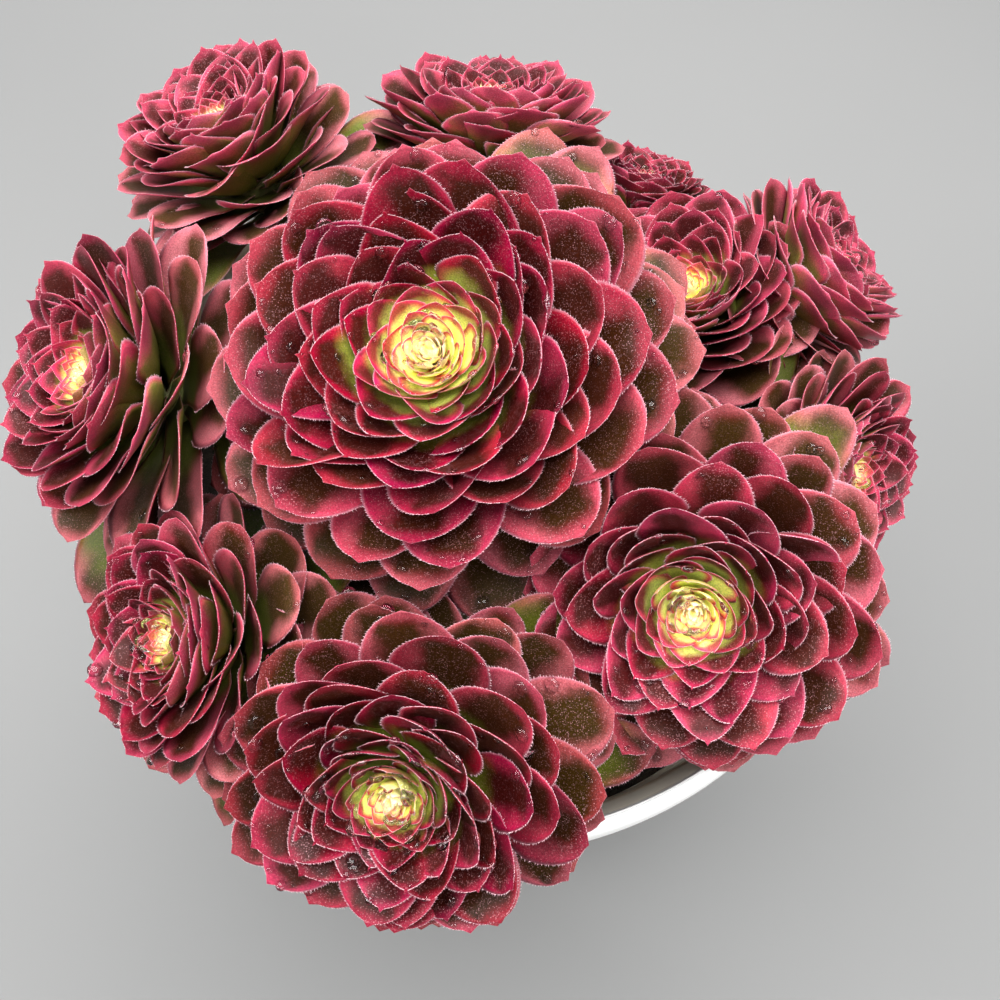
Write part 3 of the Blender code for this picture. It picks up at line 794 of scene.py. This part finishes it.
def stemMaterial():
    f = Finish("aeonium_stem_bark")
    young, scar = f.tones("stemTone")[:2]
    blotch = f.noise(160, 4.0)
    fine = f.noise(1500, 3.0)
    bark = f.mix(blotch, stemSkin["barkDark"], stemSkin["barkPale"])
    green = f.mix(blotch, stemSkin["greenDark"], stemSkin["greenPale"])
    share = f.step(f.math("MULTIPLY_ADD", blotch, 0.4, young), 0.35, 0.85)
    colour = f.mix(share, bark, green)
    colour = f.mix(f.math("MULTIPLY", scar, 0.6), colour, stemSkin["scar"])
    colour = f.mix(f.step(fine, 0.35, 0.65, (0.0, 0.25)), colour, stemSkin["fleck"])
    f.bump(f.math("ADD", fine, blotch), 0.4, 0.0004)
    return f.set(Base_Color=colour, Roughness=f.math("MULTIPLY_ADD", fine, 0.25, 0.45))


def sweptTube(path, radii, sides):
    # rings square to the path, kept from twisting, with raised scar rings where leaves fell
    ahead = unit(np.gradient(path, axis=0))
    side = unit(np.cross(ahead, np.cross((0.2, 0.1, 1.0), ahead)))
    other = np.cross(ahead, side)
    turn = 2 * np.pi * np.arange(sides) / sides
    travelled = np.concatenate([[0], np.cumsum(np.linalg.norm(np.diff(path, axis=0), axis=1))])
    wave = travelled[:, None] / stemShape["scarStep"] + 0.35 * np.sin(turn * 3 + 1)
    crest = np.maximum(np.cos(2 * np.pi * wave), 0) ** 3
    reach = radii[:, None] + crest * stemShape["scarHeight"]
    reach = reach * (1 + 0.03 * np.sin(turn * 5 + travelled[:, None] * 300))
    rings = path[:, None] + (side[:, None] * np.cos(turn)[:, None]
                             + other[:, None] * np.sin(turn)[:, None]) * reach[..., None]
    return rings, crest


def makeStem():
    # an upright trunk to the fork, and from there a curve with four handles to each head
    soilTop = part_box("soil")[1].z
    s = stemShape
    fork = soilTop + s["fork"]
    middle = [solidPoints("soil")[:, n].mean() for n in (0, 1)]
    parts = []
    height = np.linspace(soilTop - s["trunkFoot"], fork + s["crown"], s["trunkRings"])
    path = np.stack([height * 0 + middle[0], height * 0 + middle[1], height], -1)
    taper = np.interp(height, (fork, fork + s["crown"]), (1, s["crownRadius"]))
    parts.append((path, s["trunkRadius"] * taper, height * 0))
    for place in places:
        centre, axis, *_, radius = heads[place]
        outer = solidPoints(f"{place}_rosette_outer_leaves")
        depth = -((outer - centre) @ axis).min() / radius
        end = centre - axis * (depth - s["intoHead"]) * radius
        start = np.array([*middle, fork])
        outward = np.array([end[0] - middle[0], end[1] - middle[1], 0])
        reach = np.linalg.norm(outward)
        rise = s["riseFar"] if reach > s["nearFork"] else s["riseNear"]
        first = start + outward * s["outward"] + np.array([0, 0, rise])
        second = centre - axis * (depth * radius + max(s["lastLeast"], reach * s["lastShare"]))
        t = np.linspace(0, 1, s["branchRings"])[:, None]
        path = curveAt((start, first, second, end), t)
        thick = branchRadius.get(place, branchRadius["others"])
        parts.append((path, thick * np.interp(t[:, 0], (0, 1), s["branchThick"]), t[:, 0]))
    points, quads, triangles, tones = [], [], [], []
    offset = 0
    for path, radii, young in parts:
        rings, crest = sweptTube(path, radii, s["sides"])
        faces, caps = tubeFaces(len(path), s["sides"])
        points += [rings.reshape(-1, 3), path[:1], path[-1:]]
        quads.append(faces + offset)
        triangles.append(caps + offset)
        youth = np.repeat(young[:, None], s["sides"], 1)
        tone = np.stack([youth, crest, crest * 0, crest * 0 + 1], -1)
        tones += [tone.reshape(-1, 4), tone[:1, 0], tone[-1:, 0]]
        offset += rings.shape[0] * rings.shape[1] + 2
    piece = makePiece("branched_stem_with_scars", np.concatenate(points), np.concatenate(quads),
                      np.concatenate(triangles), stemMaterial(), ["branched_stem"])
    writeTones(piece, "stemTone", np.concatenate(tones))


makeStem()
print("stem made")


# pot

potShape = dict(lipWidth=0.0075, lipTop=0.0046, lipBend=0.0036, lipDepth=0.0120, collar=0.2120,
                wall=0.0026, floor=0.0040, footRise=0.0030, taper=0.7214, segments=176,
                holes=6, holeRadius=0.0055, holeCircle=0.0525)
# inside: cream laid on the inner wall as a painted warm reflection from the red leaves
potSkin = dict(white=(0.97, 0.97, 0.955, 1), clouded=(0.90, 0.895, 0.87, 1),
               inside=(0.99, 0.93, 0.80, 1), waterLine=(0.66, 0.50, 0.32, 1),
               dust=(0.42, 0.36, 0.29, 1), lines=240, grain=900)


def potMaterial():
    f = Finish("white_pot_plastic")
    place = f.place()
    parts = f.node("ShaderNodeSeparateXYZ")
    f.join(place, parts.inputs[0])
    outward = f.math("SQRT", f.math("ADD", f.math("POWER", parts.outputs[0], 2.0),
                                    f.math("POWER", parts.outputs[1], 2.0)))
    # inside is nearer the axis than the middle of the wall, or than the mouth once in the lip
    p, rim, top = potShape, potTop.x, potTop.z
    widening = (wallRadius(top) - wallRadius(0)) / top
    bound = f.math("MULTIPLY_ADD", parts.outputs[2], widening, wallRadius(0) - p["wall"] / 2)
    inLip = f.math("GREATER_THAN", parts.outputs[2], top - p["lipDepth"] - 0.001)
    bound = f.math("MAXIMUM", bound, f.math("MULTIPLY", inLip, rim - p["lipTop"] + 0.0004))
    inside = f.math("MULTIPLY", f.step(f.math("SUBTRACT", bound, outward), -0.0004, 0.0004),
                    f.step(parts.outputs[2], 0.005, 0.006))
    blotch, fine = f.noise(26, 4.0), f.noise(potSkin["grain"], 3.0)
    clouds = f.step(blotch, 0.45, 0.75, (0.0, 0.5))
    shell = f.mix(clouds, potSkin["white"], potSkin["clouded"])
    # the inside is cream, a painted warm reflection from the red leaves on the white plastic, with
    # brown lines that the water has left
    lines = f.node("ShaderNodeTexNoise", noise_dimensions="1D")
    lines.inputs["Scale"].default_value = potSkin["lines"]
    f.join(f.math("MULTIPLY_ADD", blotch, 0.004, parts.outputs[2]), lines.inputs["W"])
    stain = f.step(lines.outputs["Fac"], 0.48, 0.64, (0.0, 0.70))
    reflectedCreamAndStains = f.mix(stain, potSkin["inside"], potSkin["waterLine"])
    shell = f.mix(inside, shell, reflectedCreamAndStains)
    dust = f.math("MULTIPLY", f.step(parts.outputs[2], 0.0, 0.05, (0.55, 0.0)), blotch)
    shell = f.mix(dust, shell, potSkin["dust"])
    f.bump(fine, 0.12, 0.0002)
    return f.set(Base_Color=shell, Roughness=f.math("MULTIPLY_ADD", fine, 0.12, 0.30),
                 Specular_IOR_Level=0.5)


def wallRadius(height):
    # the outside of the wall, which widens evenly from foot to mouth
    rim, top = potTop.x, potTop.z
    foot = rim * potShape["taper"] - 0.0004
    return foot + (rim - potShape["lipWidth"] + potShape["wall"] - foot) * height / top


def roundedCorner(centre, radius, start, end, steps=7):
    # points of an arc in the plane of radius and height
    turn = np.radians(np.linspace(start, end, steps))
    return np.stack([centre[0] + radius * np.cos(turn), centre[1] + radius * np.sin(turn)], -1)


def makePot():
    # the wall's profile carried once round the upright axis
    p, rim, height = potShape, potTop.x, potTop.z
    baseRadius = wallRadius(0)
    lipLow, mouth = height - p["lipDepth"], rim - p["lipTop"]
    bend = p["lipBend"]
    floorTop = p["footRise"] + p["floor"]

    def inside(z):
        return wallRadius(z) - p["wall"]

    rows = [
        [(0.022, 0.0), (0.026, p["footRise"]), (baseRadius - 0.012, p["footRise"])],
        roundedCorner((baseRadius - 0.0075, 0.0010), 0.0010, 180, 270, 4),
        roundedCorner((baseRadius - 0.0012, 0.0012), 0.0012, 270, 360, 5),
        [(wallRadius(z), z) for z in (0.03, 0.09, 0.15, lipLow - 0.004)],
        [(wallRadius(lipLow) + 0.0004, lipLow - 0.0002)],
        roundedCorner((rim - 0.0011, lipLow + 0.0011), 0.0011, 270, 350, 5),
        roundedCorner((rim - bend, height - bend), bend, 10, 95, 9),
        roundedCorner((mouth + 0.0022, height - 0.0022), 0.0022, 100, 162, 8),
        [(inside(p["collar"]) + 0.0002, p["collar"] + 0.0008),
         (inside(p["collar"]), p["collar"] - 0.0008), (inside(0.1985), 0.1985),
         (inside(0.197) - 0.0006, 0.197), (inside(0.1) - 0.0006, 0.10)],
        roundedCorner((inside(0.012) - 0.006, floorTop + 0.005), 0.005, 0, -90, 6),
    ]
    profile = np.concatenate([np.array(row, float) for row in rows])
    turn = 2 * np.pi * np.arange(p["segments"]) / p["segments"]
    rings = np.stack([profile[:, :1] * np.cos(turn), profile[:, :1] * np.sin(turn),
                      profile[:, 1:] + 0 * turn], -1)
    quads, triangles = tubeFaces(len(profile), p["segments"])
    points = np.concatenate([rings.reshape(-1, 3), [(0, 0, 0)], [(0, 0, floorTop)]])
    pot = makePiece("turned_pot", points, quads, triangles, potMaterial(), ["pot"])
    for k in range(p["holes"]):
        angle = 2 * np.pi * (k + 0.37) / p["holes"]
        bpy.ops.mesh.primitive_cylinder_add(
            vertices=32, radius=p["holeRadius"], depth=0.04,
            location=(p["holeCircle"] * math.cos(angle), p["holeCircle"] * math.sin(angle), 0))
        cutter = bpy.context.object
        hole = pot.modifiers.new("drainHole", "BOOLEAN")
        hole.operation, hole.solver, hole.object = "DIFFERENCE", "EXACT", cutter
        bpy.context.view_layer.objects.active = pot
        bpy.ops.object.modifier_apply(modifier="drainHole")
        bpy.data.objects.remove(cutter)


makePot()
print("pot made")


# soil

soilShape = dict(rings=70, sides=150, rimDepth=0.009, dome=0.006, lump=0.001225)
soilSkin = dict(wet=(0.006, 0.004, 0.003), damp=(0.018, 0.012, 0.008),
                dry=(0.045, 0.030, 0.018), grit=(0.09, 0.06, 0.04, 1))


def soilMaterial():
    f = Finish("damp_potting_soil")
    coarse, fine = f.noise(220, 5.0), f.noise(1400, 3.0)
    colour = f.ramp(coarse, [(0.3, soilSkin["wet"]), (0.55, soilSkin["damp"]),
                             (0.75, soilSkin["dry"])])
    colour = f.mix(f.step(fine, 0.55, 0.75, (0.0, 0.35)), colour, soilSkin["grit"])
    f.bump(f.math("ADD", coarse, fine), 0.8, 0.001)
    return f.set(Base_Color=colour, Roughness=0.9)


def makeSoil():
    # a disc of lumpy soil over a plain round side and foot, as rings from the foot to the
    # middle; the lumps are products of sines of x and y that bend one another
    low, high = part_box("soil")
    s = soilShape
    foot = solidPoints("soil")
    footRadius = np.hypot(*foot[foot[:, 2] < low.z + 0.001][:, :2].T).max()
    top = high.z - s["rimDepth"]
    edge = wallRadius(top) - potShape["wall"]
    part = np.linspace(1, 0.02, s["rings"])
    radius = np.concatenate([[footRadius * 0.5, footRadius], edge - 0.0006 + 0 * part[:1],
                             (edge - 0.0008) * part])
    height = np.concatenate([[low.z, low.z, top - 0.001], top + s["dome"] * (1 - part**2)])
    turn = 2 * np.pi * np.arange(s["sides"]) / s["sides"]
    x, y = radius[:, None] * np.cos(turn), radius[:, None] * np.sin(turn)
    lumps = (np.sin(x * 310 + 2 * np.sin(y * 170)) * np.sin(y * 290 + 1.7 * np.sin(x * 210))
             + 0.6 * np.sin(x * 730 + y * 410) * np.sin(y * 690 - x * 330))
    raised = np.concatenate([[0, 0, 0], np.clip((1 - part) * 12, 0, 1)])[:, None]
    z = height[:, None] + lumps * raised * s["lump"]
    rings = np.stack([x, y, z], -1)
    quads, triangles = tubeFaces(len(radius), s["sides"])
    ends = [(0, 0, low.z), (0, 0, rings[-1, :, 2].mean())]
    points = np.concatenate([rings.reshape(-1, 3), ends])
    makePiece("lumpy_soil", points, quads, triangles, soilMaterial(), ["soil"])


makeSoil()
print("soil made")


# studio

studio = dict(floorColour=(0.168, 0.168, 0.166, 1), floorPatch=(0.194, 0.194, 0.191, 1),
              floorSize=6.0, skyColour=(0.96, 0.98, 1.0, 1), sky=0.64, overhead=37.0,
              camera=(0.00633, -0.16089, 0.54382), dip=66.0, lens=43.2,
              # place, width and share of the overhead lamp's power
              lamps=dict(overhead=((0.05, 0.25, 1.25), 1.3, 1.0),
                         left_window=((-1.1, -0.1, 0.9), 0.7, 0.35),
                         front_fill=((0.7, -1.0, 0.9), 0.9, 0.30)))


def makeStudio():
    # a flat floor, a soft sky, round area lamps aimed at the plant, and the camera
    half = studio["floorSize"] / 2
    mesh = bpy.data.meshes.new("floor")
    mesh.from_pydata([(-half, -half, 0), (half, -half, 0), (half, half, 0), (-half, half, 0)],
                     [], [(0, 1, 2, 3)])
    floor = bpy.data.objects.new("floor", mesh)
    bpy.context.scene.collection.objects.link(floor)
    f = Finish("pale_floor")
    shade = f.mix(f.noise(3.0, 3.0), studio["floorColour"], studio["floorPatch"])
    mesh.materials.append(f.set(Base_Color=shade, Roughness=0.8))

    world = bpy.data.worlds.new("soft_sky")
    bpy.context.scene.world = world
    world.use_nodes = True
    sky = world.node_tree.nodes["Background"]
    sky.inputs["Color"].default_value = studio["skyColour"]
    sky.inputs["Strength"].default_value = studio["sky"]

    for name, (where, size, share) in studio["lamps"].items():
        light = bpy.data.lights.new(name, "AREA")
        light.shape, light.size, light.energy = "DISK", size, studio["overhead"] * share
        lamp = bpy.data.objects.new(name, light)
        bpy.context.scene.collection.objects.link(lamp)
        lamp.location = where
        aim = np.array((0, 0, 0.25)) - np.array(where)
        lamp.rotation_euler = (math.atan2(math.hypot(*aim[:2]), -aim[2]), 0,
                               math.atan2(aim[1], aim[0]) - math.pi / 2)

    view = bpy.data.cameras.new("camera")
    view.lens, view.sensor_width, view.clip_start = studio["lens"], 36.0, 0.01
    camera = bpy.data.objects.new("camera", view)
    bpy.context.scene.collection.objects.link(camera)
    camera.location = studio["camera"]
    camera.rotation_euler = (math.radians(90 - studio["dip"]), 0, 0)
    bpy.context.scene.camera = camera
    bpy.context.scene.view_settings.view_transform = "Standard"
    bpy.context.scene.view_settings.look = "None"


makeStudio()
